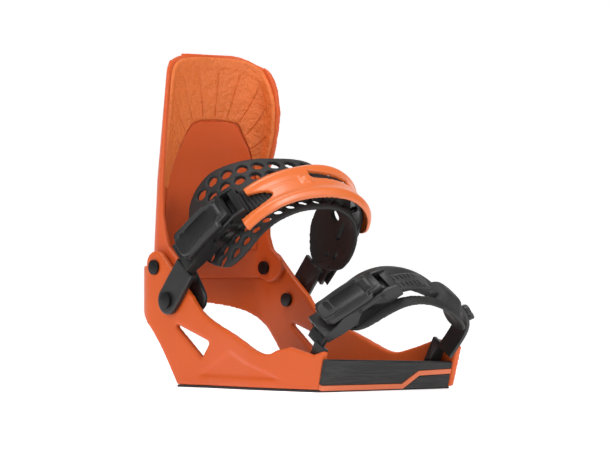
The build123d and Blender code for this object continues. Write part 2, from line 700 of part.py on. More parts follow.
# the frame's outline seen square to the crown, and the fork that the ladder runs through
FRAME_TOP = [
    (-60.0, -3.0), (-32.0, -7.5), (-6.0, -12.0), (27.0, -17.0), (75.0, -16.0),
    (75.0, 18.0), (27.0, 18.5), (-6.0, 20.0), (-20.0, 22.0), (-32.0, 24.0), (-60.0, 28.0),
]
FORK = [(-60.0, 1.0), (-24.0, 1.0), (-18.0, 6.0), (-18.0, 13.0), (-24.0, 17.0), (-60.0, 17.0)]
with BuildPart() as ankle_frame:
    add(band(ankle_plane, ribbon(ANKLE_LOOP, 2.2, 5.2, 0.25, 0.78), -20.0, 30.0).part)
    with BuildSketch(Plane(origin=ankle_plane.origin, x_dir=ankle_plane.x_dir, z_dir=-ankle_plane.y_dir)):
        with BuildLine():
            Polyline(*FRAME_TOP, close=True)
        make_face()
        with BuildLine():
            Polyline(*FORK, close=True)
        make_face(mode=Mode.SUBTRACT)
    extrude(amount=-200, mode=Mode.INTERSECT)
save(ankle_frame, "ankle_frame")

SIZE_T = 2.6
SIZE_HALF = 9.0
SIZE_SIDE = [(10.0, -4.0), (48.0, -8.0), (125.0, -8.0), (125.0, 12.0), (54.0, 12.0), (36.0, 6.0), (10.0, 6.0)]
size_low = STRAP_SHIFT - SIZE_HALF
size_high = STRAP_SHIFT + SIZE_HALF
size_tab = tab(1, ANKLE_MOUNT, HEEL_HALF + CLEAR, SIZE_T, 50.0, 34.0, 20.0, BOLT_R + RUNNING)
with BuildPart() as ankle_size_strap:
    add(band(ankle_plane, ribbon(ANKLE_LOOP, -1.3, 1.3, 0.62, 1.0), size_low, size_high).part)
    with BuildSketch(Plane(origin=ankle_plane.origin, x_dir=ankle_plane.y_dir, z_dir=ankle_plane.x_dir)):
        with BuildLine():
            Polyline(*SIZE_SIDE, close=True)
        make_face()
    extrude(amount=100, both=True, mode=Mode.INTERSECT)
    add(size_tab.part)
save(ankle_size_strap, "ankle_size_strap")

with BuildPart() as ankle_bolts:
    for sign in (-1, 1):
        stack = ARM_T if sign < 0 else SIZE_T
        grip = WALL_T + 2 * CLEAR + stack + 1.0
        seat = sign * (HEEL_INNER - 0.1)
        with Locations(Location((ANKLE_MOUNT[0], seat, ANKLE_MOUNT[1]), (-90 * sign, 0, 0))):
            Cylinder(BOLT_R, grip, align=(Align.CENTER, Align.CENTER, Align.MIN))
            Cylinder(HEAD_R, HEAD_T, align=(Align.CENTER, Align.CENTER, Align.MAX))
save(ankle_bolts, "ankle_bolts")

with BuildPart() as ankle_nuts:
    for sign, stack in ((-1, ARM_T), (1, SIZE_T)):
        seat = HEEL_HALF + CLEAR + stack + 0.2
        with Locations(Location((ANKLE_MOUNT[0], sign * seat, ANKLE_MOUNT[1]), (-90 * sign, 0, 0))):
            Cylinder(5.6, 2.2, align=(Align.CENTER, Align.CENTER, Align.MIN))
            Cylinder(BOLT_R, 1.0, align=(Align.CENTER, Align.CENTER, Align.MIN), mode=Mode.SUBTRACT)
save(ankle_nuts, "ankle_nuts")


def rivets_on(plane, points, shares, shift, low, high, radius):
    """Rivets square to a strap loop, through its layers."""
    curve = Spline(*points)
    with BuildPart() as group:
        for share in shares:
            spot = curve @ share
            run = curve % share
            foot = plane.from_local_coords(Vector(spot.X - run.Y * low, spot.Y + run.X * low, shift))
            out = plane.from_local_coords(Vector(spot.X - run.Y * high, spot.Y + run.X * high, shift)) - foot
            with Locations(Plane(origin=foot, z_dir=out).location):
                Cylinder(radius, high - low, align=(Align.CENTER, Align.CENTER, Align.MIN))
    return group


ankle_rivets = rivets_on(ankle_plane, ANKLE_LOOP, (0.44, 0.70), STRAP_SHIFT, -7.0, 6.0, 2.0)
save(ankle_rivets, "ankle_rivets")

# ---------------------------------------------------------------- toe strap
TOE_LADDER_HALF = 9.0
TOE_TAB_T = 2.6
TOE_TAB_W = 12.0
TOE_TAB_IN = TOE_INNER - 0.5 - TOE_TAB_T
TOE_SCREW_R = 2.45
toe_buckle_plane = chord_plane(toe_plane, TOE_RUN[0], TOE_RUN[-1], 0.0)
ratchet("toe", toe_buckle_plane, TOE_LADDER_HALF)

with BuildPart() as toe_ladder:
    add(tab(-1, TOE_MOUNT, TOE_TAB_IN, TOE_TAB_T, 60.0, 17.0, TOE_TAB_W, TOE_SCREW_R + RUNNING).part)
    add(band(toe_plane, ribbon(TOE_LADDER, -1.2, 1.2, 0.0, 1.0), -TOE_LADDER_HALF, TOE_LADDER_HALF).part)
save(toe_ladder, "toe_ladder")

toe_pad = band(toe_plane, ribbon(TOE_LOOP, -8.6, -4.8, 0.06, 0.84), -32.0, 19.0)
save(toe_pad, "toe_pad")

with BuildPart() as toe_size_strap:
    add(tab(1, TOE_MOUNT, TOE_TAB_IN, TOE_TAB_T, 60.0, 19.0, TOE_TAB_W, TOE_SCREW_R + RUNNING).part)
    add(band(toe_plane, ribbon(TOE_LOOP, -1.2, 1.2, 0.60, 1.0), -8.0, 8.0).part)
save(toe_size_strap, "toe_size_strap")

with BuildPart() as toe_screws:
    for sign in (-1, 1):
        with Locations(Location((TOE_MOUNT[0], sign * (TOE_TAB_IN - 0.2), TOE_MOUNT[1]), (-90 * sign, 0, 0))):
            Cylinder(TOE_SCREW_R, TOE_TAB_T + 3.6, align=(Align.CENTER, Align.CENTER, Align.MIN))
            Cylinder(4.4, 2.0, align=(Align.CENTER, Align.CENTER, Align.MAX))
save(toe_screws, "toe_screws")

toe_rivets = rivets_on(toe_plane, TOE_LOOP, (0.66,), 0.0, -6.0, 3.0, 2.0)
save(toe_rivets, "toe_rivets")

# thumb knob that clamps the size strap
KNOB_SHARE = 0.80
knob_curve = Spline(*TOE_LOOP)
knob_spot = knob_curve @ KNOB_SHARE
knob_run = knob_curve % KNOB_SHARE


def knob_plane(level):
    """Plane square to the size strap, a given height outside it."""
    foot = toe_plane.from_local_coords(
        Vector(knob_spot.X - knob_run.Y * level, knob_spot.Y + knob_run.X * level, 0)
    )
    return Plane(origin=foot, x_dir=toe_plane.z_dir, z_dir=foot - toe_plane.from_local_coords(
        Vector(knob_spot.X, knob_spot.Y, 0)
    ))


KNOB_LEVEL = 2.0
KNOB_R = 5.4
KNOB_T = 3.4
knob_axis = knob_plane(KNOB_LEVEL)
with BuildPart() as toe_knob:
    with BuildSketch(knob_axis):
        Circle(KNOB_R)
        SlotOverall(15.0, 5.0)
    extrude(amount=KNOB_T)
    fillet(toe_knob.edges().filter_by(GeomType.CIRCLE).sort_by(SortBy.RADIUS)[-4:], 0.4)
save(toe_knob, "toe_knob")
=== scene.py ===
"""A two-strap snowboard binding: moulded chassis, leather-faced highback, and two ratchet straps."""

import math

import bmesh
import bpy
import numpy as np
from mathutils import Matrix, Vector


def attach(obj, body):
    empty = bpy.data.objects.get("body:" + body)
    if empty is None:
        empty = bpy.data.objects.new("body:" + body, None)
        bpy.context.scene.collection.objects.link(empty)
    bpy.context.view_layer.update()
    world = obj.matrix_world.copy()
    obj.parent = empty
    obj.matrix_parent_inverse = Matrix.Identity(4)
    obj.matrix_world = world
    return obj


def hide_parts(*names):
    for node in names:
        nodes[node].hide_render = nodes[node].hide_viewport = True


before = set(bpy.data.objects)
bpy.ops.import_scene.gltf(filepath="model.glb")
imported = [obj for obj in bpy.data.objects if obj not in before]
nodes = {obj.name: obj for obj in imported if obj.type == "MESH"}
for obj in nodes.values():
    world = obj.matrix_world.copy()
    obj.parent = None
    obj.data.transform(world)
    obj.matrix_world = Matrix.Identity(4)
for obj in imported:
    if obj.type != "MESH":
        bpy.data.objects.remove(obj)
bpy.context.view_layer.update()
MM = 0.001


# ---------------------------------------------------------------- studio
# A pale sweep that is floor and backdrop in one sheet, three soft lights, and a long lens
# a few centimetres above the board, a quarter turn round from the toe.
def studio_sweep(reach, rise, radius, steps):
    """Sheet whose profile is flat, then a quarter circle of the given radius, then upright."""
    turn = np.linspace(0, math.pi / 2, steps)
    along = np.concatenate([[-reach], radius * np.sin(turn) + reach, [reach + radius]])
    height = np.concatenate([[0.0], radius * (1 - np.cos(turn)), [rise]])
    across = np.linspace(-3.5, 3.5, 3)
    azimuth = math.radians(CAMERA_AZIMUTH)
    back = np.array([-math.sin(azimuth), math.cos(azimuth)])
    side = np.array([back[1], -back[0]])
    rows, cols = len(along), len(across)
    grid = np.zeros((rows, cols, 3))
    grid[..., :2] = along[:, None, None] * back + across[None, :, None] * side
    grid[..., 2] = height[:, None]
    index = np.arange(rows * cols).reshape(rows, cols)
    quads = np.stack([index[:-1, :-1], index[:-1, 1:], index[1:, 1:], index[1:, :-1]], -1).reshape(-1, 4)
    mesh = bpy.data.meshes.new("sweep")
    mesh.from_pydata(grid.reshape(-1, 3).tolist(), [], quads[:, ::-1].tolist())
    mesh.polygons.foreach_set("use_smooth", [True] * len(mesh.polygons))
    return bpy.data.objects.new("sweep", mesh)


CAMERA_AZIMUTH = 48.0
CAMERA_DISTANCE = 2.100
CAMERA_HEIGHT = 0.0713
CAMERA_PITCH = 1.11
LENS = 179.7

sweep = studio_sweep(1.6, 3.0, 1.4, 24)
bpy.context.scene.collection.objects.link(sweep)
paper = bpy.data.materials.new("paper")
paper.use_nodes = True
paper.node_tree.nodes["Principled BSDF"].inputs["Base Color"].default_value = (0.93, 0.93, 0.93, 1)
paper.node_tree.nodes["Principled BSDF"].inputs["Roughness"].default_value = 0.9
paper.node_tree.nodes["Principled BSDF"].inputs["Emission Color"].default_value = (1, 1, 1, 1)
paper.node_tree.nodes["Principled BSDF"].inputs["Emission Strength"].default_value = 0.5
sweep.data.materials.append(paper)

camera = bpy.data.objects.new("camera", bpy.data.cameras.new("camera"))
bpy.context.scene.collection.objects.link(camera)
bpy.context.scene.camera = camera
camera.data.lens = LENS
camera.data.sensor_width = 36.0
camera.data.clip_end = 20.0
azimuth = math.radians(CAMERA_AZIMUTH)
camera.location = (CAMERA_DISTANCE * math.sin(azimuth), -CAMERA_DISTANCE * math.cos(azimuth), CAMERA_HEIGHT)
camera.rotation_euler = (math.radians(90 + CAMERA_PITCH), 0, azimuth)

world = bpy.data.worlds.new("studio")
bpy.context.scene.world = world
world.use_nodes = True
world.node_tree.nodes["Background"].inputs["Color"].default_value = (1, 1, 1, 1)
world.node_tree.nodes["Background"].inputs["Strength"].default_value = 0.22
bpy.context.scene.view_settings.view_transform = "Standard"


def soft_light(name, place, size, power):
    """Area light of a given size that faces the object."""
    data = bpy.data.lights.new(name, "AREA")
    data.size = size
    data.energy = power
    light = bpy.data.objects.new(name, data)
    bpy.context.scene.collection.objects.link(light)
    light.location = place
    light.rotation_euler = (Vector((0, 0, 0.1)) - Vector(place)).to_track_quat("-Z", "Y").to_euler()


soft_light("overhead", (0.0, -0.2, 1.5), 0.9, 13)
soft_light("key", (0.1, -1.6, 0.9), 0.6, 12)
soft_light("toe_side", (1.5, 0.1, 0.8), 0.5, 13)


# ---------------------------------------------------------------- chassis
# Heel hoop, side walls and floor are one glass-filled nylon moulding with rounded edges.  The
# four CAD solids are fused and re-skinned, so no seam shows where they meet.
class Value:
    """A number that varies over a surface; arithmetic on it adds Math nodes."""

    def __init__(self, finish, socket):
        self.finish = finish
        self.socket = socket

    def calc(self, operation, other):
        return self.finish.add("ShaderNodeMath", {"operation": operation}, {0: self, 1: other})

    def __add__(self, other):
        return self.calc("ADD", other)

    def __mul__(self, other):
        return self.calc("MULTIPLY", other)

    def __gt__(self, other):
        return self.calc("GREATER_THAN", other)

    def __lt__(self, other):
        return self.calc("LESS_THAN", other)

    __radd__ = __add__
    __rmul__ = __mul__


class Finish:
    """A material whose nodes are added one expression at a time."""

    def __init__(self, name, colour, roughness, **shader):
        self.material = bpy.data.materials.new(name)
        self.material.use_nodes = True
        self.tree = self.material.node_tree
        self.shader = self.tree.nodes["Principled BSDF"]
        self.colour = colour
        self.set("Base Color", (*colour, 1))
        self.set("Roughness", roughness)
        for socket, value in shader.items():
            self.set(socket.replace("_", " "), value)

    def set(self, socket, value):
        """Put a number or a link on one socket of the shader."""
        if isinstance(value, Value):
            self.tree.links.new(value.socket, self.shader.inputs[socket])
        else:
            self.shader.inputs[socket].default_value = value

    def add(self, kind, settings, values, output=0):
        """Add one node: its settings first, then the numbers or links of its sockets."""
        node = self.tree.nodes.new(kind)
        for name, setting in settings.items():
            setattr(node, name, setting)
        for socket, value in values.items():
            if isinstance(value, Value):
                self.tree.links.new(value.socket, node.inputs[socket])
            else:
                node.inputs[socket].default_value = value
        return Value(self, node.outputs[output])

    def place(self):
        """Object coordinates in metres."""
        return self.add("ShaderNodeTexCoord", {}, {}, "Object")

    def noise(self, scale, detail=2.0, where=None):
        """Fractal noise, from 0 to 1."""
        place = where or self.place()
        return self.add("ShaderNodeTexNoise", {}, {"Vector": place, "Scale": scale, "Detail": detail})

    def tint(self, mask, shade):
        """Blend the base colour towards a shade where the mask is high."""
        base = self.shader.inputs["Base Color"]
        under = Value(self, base.links[0].from_socket) if base.is_linked else tuple(base.default_value)
        mixed = self.add("ShaderNodeMix", {"data_type": "RGBA"}, {0: mask, 6: under, 7: (*shade, 1)}, 2)
        self.set("Base Color", mixed)

    def bump(self, height, distance):
        """Raise the surface by a height field, distance in metres."""
        relief = self.add("ShaderNodeBump", {}, {"Height": height, "Distance": distance, "Strength": 1.0})
        self.set("Normal", relief)


def darker(colour, share):
    return tuple(channel * share for channel in colour)


ORANGE = (0.60, 0.090, 0.011)
chassis_nylon = Finish("chassis_nylon", ORANGE, 0.42, Specular_IOR_Level=0.35)
chassis_nylon.tint(chassis_nylon.noise(35.0, 3.0) * 0.5, darker(ORANGE, 0.86))
chassis_nylon.set("Roughness", 0.36 + 0.16 * chassis_nylon.noise(300.0, 2.0))
chassis_nylon.bump(chassis_nylon.noise(2600.0, 1.0), 0.00005)


def mount(piece, finish, body, slot, *stands_for):
    """Give a finished piece its material and its body, and hide the nodes it stands for; its slot is not
    used.
    """
    piece.data.materials.clear()
    piece.data.materials.append(finish.material)
    piece.data.polygons.foreach_set("use_smooth", np.ones(len(piece.data.polygons), bool))
    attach(piece, body)
    if stands_for:
        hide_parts(*stands_for)
    return piece


def frozen(piece):
    """Replace a piece's mesh by its mesh with all modifiers applied."""
    graph = bpy.context.evaluated_depsgraph_get()
    mesh = bpy.data.meshes.new_from_object(piece.evaluated_get(graph))
    piece.modifiers.clear()
    piece.data = mesh
    return piece


def merged_copy(name, *sources):
    """One object holding merged copies of CAD nodes' meshes."""
    work = bmesh.new()
    for source in sources:
        work.from_mesh(nodes[source].data)
    bmesh.ops.remove_doubles(work, verts=work.verts, dist=1e-6)
    mesh = bpy.data.meshes.new(name)
    work.to_mesh(mesh)
    work.free()
    mesh.materials.clear()
    piece = bpy.data.objects.new(name, mesh)
    bpy.context.scene.collection.objects.link(piece)
    return piece


def reskin(piece, voxel, passes):
    """Even skin of small quads with its sharp edges worn round, as a moulding's are."""
    remesh = piece.modifiers.new("skin", "REMESH")
    remesh.mode = "VOXEL"
    remesh.voxel_size = voxel
    relax = piece.modifiers.new("relax", "SMOOTH")
    relax.factor = 0.5
    relax.iterations = passes
    return frozen(piece)


CHASSIS_SOLIDS = ("side_frame_near", "side_frame_far", "heel_hoop", "base_plate")
chassis = merged_copy("chassis_moulding", *CHASSIS_SOLIDS)
reskin(chassis, 1.05 * MM, 5)
mount(chassis, chassis_nylon, "chassis", "chassis_orange", *CHASSIS_SOLIDS)


# ---------------------------------------------------------------- under the foot
# A rubber gasket seals chassis to board, a foam footbed and a rubber bumper line the inside,
# and a glass-filled nylon disc clamps the chassis down through four slots.
def moulded(name, finish, body, slot, sources, edge=0.7):
    """Merged copy of CAD nodes with a rounded edge all round, edge in millimetres."""
    piece = merged_copy(name, *sources)
    bevel = piece.modifiers.new("edge", "BEVEL")
    bevel.width = edge * MM
    bevel.segments = 3
    bevel.limit_method = "ANGLE"
    bevel.angle_limit = math.radians(35)
    bevel.harden_normals = True
    return mount(piece, finish, body, slot, *sources)


gasket_rubber = Finish("gasket_rubber", (0.012, 0.012, 0.013), 0.62)
gasket_rubber.bump(gasket_rubber.noise(1400.0, 3.0), 0.0001)
moulded("gasket", gasket_rubber, "chassis", "gasket_rubber", ["base_gasket"], 0.4)

footbed_foam = Finish("footbed_foam", (0.020, 0.020, 0.022), 0.82)
footbed_foam.tint(footbed_foam.noise(220.0, 4.0), (0.034, 0.034, 0.036))
cells = footbed_foam.add("ShaderNodeTexVoronoi", {}, {"Vector": footbed_foam.place(), "Scale": 900.0})
footbed_foam.bump(cells, 0.0002)
moulded("footbed_liner", footbed_foam, "chassis", "footbed_foam", ["footbed"], 0.5)

bumper_rubber = Finish("bumper_rubber", (0.014, 0.014, 0.015), 0.7)
bumper_rubber.bump(bumper_rubber.noise(900.0, 2.0), 0.00012)
moulded("bumper", bumper_rubber, "chassis", "bumper_rubber", ["heel_bumper"], 0.6)

disc_nylon = Finish("disc_nylon", (0.055, 0.056, 0.058), 0.45)
disc_nylon.tint(disc_nylon.noise(60.0, 3.0), (0.075, 0.076, 0.078))
disc_nylon.bump(disc_nylon.noise(2000.0, 2.0), 0.00006)
moulded("disc", disc_nylon, "disc", "disc_grey", ["mounting_disc"], 0.35)


# ---------------------------------------------------------------- toe ramp
# A hard rubber ramp with a fine lengthwise grain closes the toe.  An orange inlay steps up
# across its face, with a black block set in under the step.
ramp_rubber = Finish("ramp_rubber", (0.012, 0.012, 0.0125), 0.55, Specular_IOR_Level=0.35)
drawn = ramp_rubber.add("ShaderNodeMapping", {}, {"Vector": ramp_rubber.place(), "Scale": (1.0, 0.07, 1.6)})
grain = ramp_rubber.noise(520.0, 5.0, drawn)
ramp_rubber.tint((grain > 0.52) * 0.5, (0.034, 0.033, 0.032))
ramp_rubber.set("Roughness", 0.45 + 0.3 * grain)
ramp_rubber.bump(grain, 0.0006)
moulded("ramp", ramp_rubber, "chassis", "ramp_black", ["toe_ramp"], 0.8)
moulded("ramp_block", ramp_rubber, "chassis", "ramp_black", ["toe_block"], 0.5)

TRIM = (0.62, 0.135, 0.045)
trim_nylon = Finish("trim_nylon", TRIM, 0.48)
trim_nylon.tint(trim_nylon.noise(80.0, 2.0) * 0.4, darker(TRIM, 0.8))
trim_nylon.bump(trim_nylon.noise(2200.0, 1.0), 0.00005)
moulded("ramp_inlay", trim_nylon, "chassis", "trim_orange", ["toe_trim"], 0.3)


# ---------------------------------------------------------------- fixings
# Black-oxide steel bolts with round heads carry the highback and both straps.  Washers space
# the highback off the walls, and nuts close the stacks outside.
bolt_steel = Finish("bolt_steel", (0.012, 0.012, 0.013), 0.34, Metallic=0.6)
bolt_steel.set("Roughness", 0.28 + 0.2 * bolt_steel.noise(500.0, 3.0))
bolt_steel.bump(bolt_steel.noise(1500.0, 2.0), 0.00004)
for group in ("pivot_bolts", "pivot_washers", "pivot_nuts", "ankle_bolts", "ankle_nuts", "toe_screws"):
    moulded(f"{group}_set", bolt_steel, "chassis", "bolt_black", [group], 0.45)


# ---------------------------------------------------------------- highback
# One nylon shell, straight where it meets the hoop and drawing in towards the top.  Its rim
# stands round a leather-faced fan and a smooth panel that are bonded to the inner face.
SHELL = (0.60, 0.090, 0.016)
shell_nylon = Finish("shell_nylon", SHELL, 0.4, Specular_IOR_Level=0.35)
shell_nylon.tint(shell_nylon.noise(30.0, 3.0) * 0.5, darker(SHELL, 0.85))
shell_nylon.set("Roughness", 0.36 + 0.14 * shell_nylon.noise(260.0, 2.0))
shell_nylon.bump(shell_nylon.noise(2400.0, 1.0), 0.00005)
shell = merged_copy("highback_moulding", "highback_shell")
reskin(shell, 0.95 * MM, 5)
mount(shell, shell_nylon, "highback", "shell_orange", "highback_shell")


def on_shell(arc, height, level):
    """Point on the shell's inner side.  60 mm of arc is a quarter of the half ellipse of its
    section, and more is a straight wing; above the bend the section draws in with height, and
    level is millimetres in from the outer face."""
    tilt = math.radians(4.0)
    local = np.zeros_like(arc)
    turn = np.clip(np.abs(arc) / 60.0, 0, 1) * math.pi / 2
    for _ in range(3):
        rise = (height - 83.0 + local * math.sin(tilt)) / math.cos(tilt)
        draw = 5.4 * np.clip((rise - 62.0) / 128.0, 0, None)
        local = -4.5 - (26.2 - level - draw) * np.cos(turn) + np.clip(np.abs(arc) - 60.0, 0, None)
    across = np.sign(arc) * (49.7 - level - draw) * np.sin(turn)
    x = -94.5 + local * math.cos(tilt) + rise * math.sin(tilt)
    z = 83.0 - local * math.sin(tilt) + rise * math.cos(tilt)
    return np.stack([x, across, z], -1) * MM


def slab(name, outer, inner, keep=None):
    """Closed sheet between two grids of points.  Only the grid cells that are kept have faces,
    and a wall joins the two sides wherever a kept cell has no kept neighbour."""
    rows, cols = outer.shape[:2]
    keep = np.ones((rows - 1, cols - 1), bool) if keep is None else keep
    top = np.arange(rows * cols).reshape(rows, cols)
    under = top + rows * cols
    a, b, c, d = top[:-1, :-1], top[:-1, 1:], top[1:, 1:], top[1:, :-1]
    quads = [np.stack([a, b, c, d], -1)[keep], np.stack([a, d, c, b], -1)[keep] + rows * cols]
    padded = np.pad(keep, 1)
    sides = (((0, -1), a, d), ((0, 1), c, b), ((-1, 0), b, a), ((1, 0), d, c))
    for (dr, dc), start, end in sides:
        beside = padded[1 + dr:rows + dr, 1 + dc:cols + dc]
        edge = keep & ~beside
        first, second = start[edge], end[edge]
        quads.append(np.stack([second, first, first + rows * cols, second + rows * cols], -1))
    faces = np.concatenate(quads)
    used, packed = np.unique(faces, return_inverse=True)
    points = np.concatenate([outer.reshape(-1, 3), inner.reshape(-1, 3)])[used]
    mesh = bpy.data.meshes.new(name)
    mesh.from_pydata(points.tolist(), [], packed.reshape(faces.shape).tolist())
    work = bmesh.new()
    work.from_mesh(mesh)
    bmesh.ops.recalc_face_normals(work, faces=work.faces)
    work.to_mesh(mesh)
    work.free()
    piece = bpy.data.objects.new(name, mesh)
    bpy.context.scene.collection.objects.link(piece)
    return piece


def softened(points, passes):
    """A polyline with its corners rounded by repeated averaging of neighbours."""
    points = points.copy()
    for _ in range(passes):
        points[1:-1] = (points[:-2] + 2 * points[1:-1] + points[2:]) / 4
    return points


BOND = 3.6  # level of the shell's inner face, where facing and panel are bonded on
FACING = (0.68, 0.152, 0.028)
facing_leather = Finish("facing_leather", FACING, 0.55, Specular_IOR_Level=0.4)
hide = facing_leather.add("ShaderNodeTexVoronoi", {"feature": "DISTANCE_TO_EDGE"},
                          {"Vector": facing_leather.place(), "Scale": 420.0})
creased = facing_leather.noise(120.0, 3.0)
# painted shade: the tint darkens the grain's cell edges, the creases that the bump below sinks in
facing_leather.tint((hide < 0.05) * 0.2, darker(FACING, 0.55))
facing_leather.tint(facing_leather.noise(70.0, 4.0) * 0.5, darker(FACING, 0.8))
facing_leather.set("Roughness", 0.42 + 0.25 * creased)
facing_leather.bump(creased + 0.2 * hide, 0.003)

# fourteen rays of the fan from near to far: where each leaves the panel, and where it ends
RAY_START = [
    (-30.0, 139.0), (-28.0, 146.0), (-23.0, 158.0), (-17.0, 169.0), (-12.5, 178.0), (-7.0, 187.0),
    (1.5, 189.0), (10.5, 189.5), (19.5, 189.0), (29.7, 187.0), (34.8, 177.4), (40.8, 168.8),
    (47.0, 154.0), (52.0, 139.0),
]
RAY_END = [
    (-47.5, 139.0), (-49.0, 158.0), (-50.0, 180.0), (-49.5, 204.0), (-43.0, 222.0), (-26.0, 231.5),
    (-6.0, 234.0), (11.5, 234.2), (32.0, 233.4), (59.0, 224.0), (70.8, 204.0), (70.5, 180.0),
    (62.8, 157.0), (60.0, 139.0),
]
LAST_RAY = len(RAY_START) - 1
ray = np.linspace(0, LAST_RAY, 780)


def between_rays(ends, passes):
    """A smooth line through the fan's rays at one end: straight runs, then rounded corners."""
    arc, height = np.array(ends).T
    order = np.arange(len(ends))
    line = np.stack([np.interp(ray, order, arc), np.interp(ray, order, height)], -1)
    return softened(line, passes)


start = between_rays(RAY_START, 250)
end = between_rays(RAY_END, 600)
out = np.linspace(0, 1, 90)[None, :]
spread = start[:, None] * (1 - out[..., None]) + end[:, None] * out[..., None]
ray = ray[:, None]
pulled = np.clip(out / 0.06, 0, 1) * np.clip((1 - out) / 0.05, 0, 1)
pulled = pulled * np.clip(ray / 0.2, 0, 1) * np.clip((LAST_RAY - ray) / 0.2, 0, 1)
rounding = np.sqrt(np.clip(1 - (1 - pulled) ** 2, 0, 1))
margin = np.clip((out - 0.80) / 0.05, 0, 1)
stitch = np.exp(-((ray - np.round(ray)) / 0.035) ** 2) * (ray > 2.5) * (ray < 11.5)
stitch = stitch * np.clip((out - 0.03) / 0.03, 0, 1) * np.clip((0.78 - out) / 0.03, 0, 1)
puff = np.abs(np.sin(ray * math.pi)) ** 0.5
loft = 0.4 + rounding * (1.15 + 0.25 * puff * (1 - margin) + 0.95 * margin) - 0.75 * stitch
arc, height = spread[..., 0], spread[..., 1]
fan = slab("facing_fan", on_shell(arc, height, BOND + loft), on_shell(arc, height, BOND + 0 * loft))
mount(fan, facing_leather, "highback", "facing_orange", "highback_facing")

PANEL = (0.56, 0.080, 0.012)
panel_nylon = Finish("panel_nylon", PANEL, 0.5, Specular_IOR_Level=0.25)
panel_nylon.tint(panel_nylon.noise(40.0, 3.0) * 0.5, darker(PANEL, 0.85))
panel_nylon.bump(panel_nylon.noise(1800.0, 2.0), 0.00006)
height = np.linspace(96.0, 188.6, 160)
PANEL_NEAR = [
    (96.0, -33.0), (139.0, -29.0), (150.0, -25.5), (158.0, -22.2),
    (169.0, -16.2), (178.0, -11.8), (186.0, -6.2), (188.6, 0.5),
]
PANEL_FAR = [
    (96.0, 53.0), (139.0, 51.2), (154.0, 46.2), (168.8, 40.0), (177.4, 34.0), (186.0, 28.5), (188.6, 21.0),
]
left = np.interp(height, *zip(*PANEL_NEAR))
right = np.interp(height, *zip(*PANEL_FAR))
v = np.linspace(-1, 1, 60)[None, :]
arc = ((left + right) / 2)[:, None] + ((right - left) / 2)[:, None] * v
height = height[:, None] + 0 * v
crown = np.sqrt(np.clip(1 - np.abs(v) ** 14, 0.1, 1)) * np.sqrt(np.clip((188.9 - height) / 1.5, 0.1, 1))
raised = on_shell(arc, height, BOND + 0.1 + 1.1 * crown)
centre_panel = slab("centre_panel", raised, on_shell(arc, height, BOND + 0 * crown))
mount(centre_panel, panel_nylon, "highback", "facing_orange", "highback_panel")

hard_nylon = Finish("hard_nylon", (0.008, 0.008, 0.0085), 0.4, Specular_IOR_Level=0.42)
hard_nylon.tint(hard_nylon.noise(50.0, 3.0), (0.014, 0.014, 0.0145))
hard_nylon.set("Roughness", 0.32 + 0.2 * hard_nylon.noise(240.0, 3.0))
hard_nylon.bump(hard_nylon.noise(2000.0, 2.0), 0.00006)
bright_steel = Finish("bright_steel", (0.50, 0.50, 0.51), 0.3, Metallic=1.0)
bright_steel.set("Roughness", 0.22 + 0.2 * bright_steel.noise(900.0, 3.0))
moulded("lean_rail_strip", hard_nylon, "highback", "hard_black", ["lean_rail"], 0.3)
moulded("lean_stop", hard_nylon, "lean_block", "hard_black", ["lean_block"], 0.6)
moulded("lean_pin", bright_steel, "lean_block", "steel", ["lean_lever_pin"], 0.3)
moulded("lean_catch", hard_nylon, "lean_lever", "hard_black", ["lean_lever"], 0.6)


# ---------------------------------------------------------------- strap loops
# Each strap is laid along one smooth loop over the boot, in a plane that leans forward from
# its pivots and is skewed a little towards the toe on the far side.
class Loop:
    """A smooth curve through points in a leaning plane, and the frame that carries it."""

    def __init__(self, mount_at, tilt, skew, points):
        lean = math.radians(tilt)
        turn = math.radians(skew)
        along = np.array([math.sin(lean), 0, -math.cos(lean)])
        side = np.array([0.0, 1.0, 0.0])
        self.origin = np.array([mount_at[0], 0.0, mount_at[1]])
        self.x = side * math.cos(turn) + along * math.sin(turn)
        self.z = along * math.cos(turn) - side * math.sin(turn)
        self.y = np.cross(self.z, self.x)
        self.points = np.array(points, float)

    def at(self, share):
        """Place and direction at shares of the curve: a cubic spline in chord length whose end
        slopes are those of the parabola through the last three points."""
        p = self.points
        step = np.hypot(*np.diff(p, axis=0).T)
        knots = np.concatenate([[0], np.cumsum(step)])
        count = len(p)
        slope = np.diff(p, axis=0) / step[:, None]
        system = np.zeros((count, count))
        right = np.zeros((count, 2))
        for end, first, second in ((0, 0, 1), (count - 1, -1, -2)):
            near, far = step[first], step[second]
            system[end, end] = 1
            right[end] = slope[first] + (slope[first] - slope[second]) * near / (near + far)
        middle = np.arange(1, count - 1)
        system[middle, middle - 1] = step[1:]
        system[middle, middle] = 2 * (step[:-1] + step[1:])
        system[middle, middle + 1] = step[:-1]
        right[1:-1] = 3 * (slope[:-1] * step[1:, None] + slope[1:] * step[:-1, None])
        lean = np.linalg.solve(system, right)
        where = np.asarray(share) * knots[-1]
        cell = np.clip(np.searchsorted(knots, where, side="right") - 1, 0, count - 2)
        width = step[cell]
        t = ((where - knots[cell]) / width)[:, None]
        w = width[:, None]
        a, b, da, db = p[cell], p[cell + 1], lean[cell] * w, lean[cell + 1] * w
        place = (2 * t**3 - 3 * t**2 + 1) * a + (t**3 - 2 * t**2 + t) * da
        place = place + (3 * t**2 - 2 * t**3) * b + (t**3 - t**2) * db
        run = (6 * t**2 - 6 * t) * (a - b) + (3 * t**2 - 4 * t + 1) * da + (3 * t**2 - 2 * t) * db
        return place, run / np.hypot(*run.T)[:, None]

    def sheet(self, share, level, width):
        """Grid of points: along the loop by share, level outside it, width across the strap."""
        place, run = self.at(share)
        u = place[:, None, 0] - run[:, None, 1] * level
        d = place[:, None, 1] + run[:, None, 0] * level
        u, d, width = np.broadcast_arrays(u, d, width)
        spot = self.origin + u[..., None] * self.x + d[..., None] * self.y + width[..., None] * self.z
        return spot * MM


